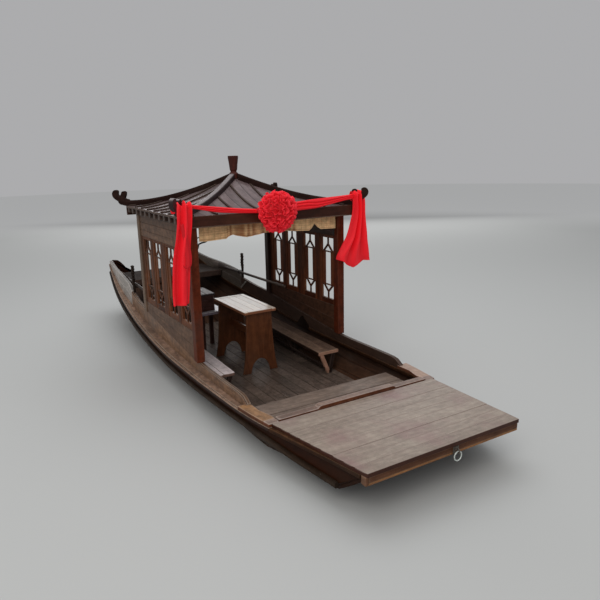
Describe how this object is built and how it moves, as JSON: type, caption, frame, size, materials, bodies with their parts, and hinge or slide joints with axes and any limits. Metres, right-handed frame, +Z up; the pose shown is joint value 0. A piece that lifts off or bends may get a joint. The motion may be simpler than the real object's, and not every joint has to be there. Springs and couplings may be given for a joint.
{
  "type": "wooden pleasure boat with a pavilion cabin",
  "caption": "Flat-bottomed wooden pleasure boat: open foredeck, four-post cabin with fretted window walls and a hipped roof with curled ridges, raised stern, stowed oars.",
  "frame": {"origin": "on the flat bottom of the hull, on the centre line, at the middle of the hull's length between the bow edge and the stern transom", "axes": "+X to the bow, +Y to port, +Z up"},
  "size_m": [6.2895, 2.164, 2.469],
  "materials": {
    "hull_wood": "dark oiled planks",
    "deck_wood": "worn weathered boards",
    "floor_wood": "worn oiled boards",
    "wall_wood": "oiled grey-brown boards",
    "post_wood": "red-brown stained",
    "dark_wood": "dark stained",
    "bench_wood": "worn oiled",
    "table_wood": "satin orange-brown stain",
    "roof_wood": "dark weathered boards",
    "finial_wood": "red-brown stained",
    "bamboo": "split bamboo slats",
    "red_cloth": "thin satin cloth",
    "iron": "galvanised, dull"
  },
  "bodies": {
    "boat": {"hull_bottom": "hull_wood", "stern_transom": "hull_wood", "bow_beam": "hull_wood", "foredeck": "deck_wood", "threshold_beam": "deck_wood", "step_plank": "deck_wood", "stern_deck": "deck_wood", "floor_boards": "floor_wood", "hull_side_starboard": "hull_wood", "gunwale_ledge_starboard": "deck_wood", "rub_strip_starboard": "hull_wood", "coaming_starboard": "wall_wood", "washboard_starboard": "wall_wood", "post_front_starboard": "post_wood", "post_rear_starboard": "post_wood", "lower_panel_starboard": "wall_wood", "window_leaves_starboard": "wall_wood", "frieze_panel_starboard": "wall_wood", "eave_beam_starboard": "wall_wood", "bench_starboard": "bench_wood", "rowlock_post_starboard": "dark_wood", "sash_starboard": "red_cloth", "hip_ridge_front_starboard": "dark_wood", "hip_ridge_rear_starboard": "dark_wood", "hull_side_port": "hull_wood", "gunwale_ledge_port": "deck_wood", "rub_strip_port": "hull_wood", "coaming_port": "wall_wood", "washboard_port": "wall_wood", "post_front_port": "post_wood", "post_rear_port": "post_wood", "lower_panel_port": "wall_wood", "window_leaves_port": "wall_wood", "frieze_panel_port": "wall_wood", "eave_beam_port": "wall_wood", "bench_port": "bench_wood", "rowlock_post_port": "dark_wood", "sash_port": "red_cloth", "hip_ridge_front_port": "dark_wood", "hip_ridge_rear_port": "dark_wood", "roof_panel_front": "roof_wood", "roof_panel_rear": "roof_wood", "roof_panel_port": "roof_wood", "roof_panel_starboard": "roof_wood", "beam_front": "dark_wood", "beam_rear": "dark_wood", "fascia_front": "dark_wood", "fascia_rear": "dark_wood", "aft_seat": "dark_wood", "finial": "finial_wood", "table": "table_wood", "mooring_eye": "iron", "bamboo_blind": "bamboo", "sash_flower": "red_cloth"},
    "oar_starboard": {"oar_starboard": "bench_wood"},
    "oar_port": {"oar_port": "bench_wood"},
    "mooring_ring": {"mooring_ring": "iron"}
  },
  "joints": [
    {"name": "oar_starboard_lift", "type": "hinge", "parent": "boat", "child": "oar_starboard", "pos_m": [-1.56, -0.716, 0.905], "axis": [0, 1, 0], "range_deg": [0, 12]},
    {"name": "oar_port_lift", "type": "hinge", "parent": "boat", "child": "oar_port", "pos_m": [-1.56, 0.716, 0.905], "axis": [0, 1, 0], "range_deg": [0, 12]},
    {"name": "mooring_ring_swing", "type": "hinge", "parent": "boat", "child": "mooring_ring", "pos_m": [3.1745, 0.066, 0.4923], "axis": [0, -1, 0], "range_deg": [-8, 100]}
  ]
}
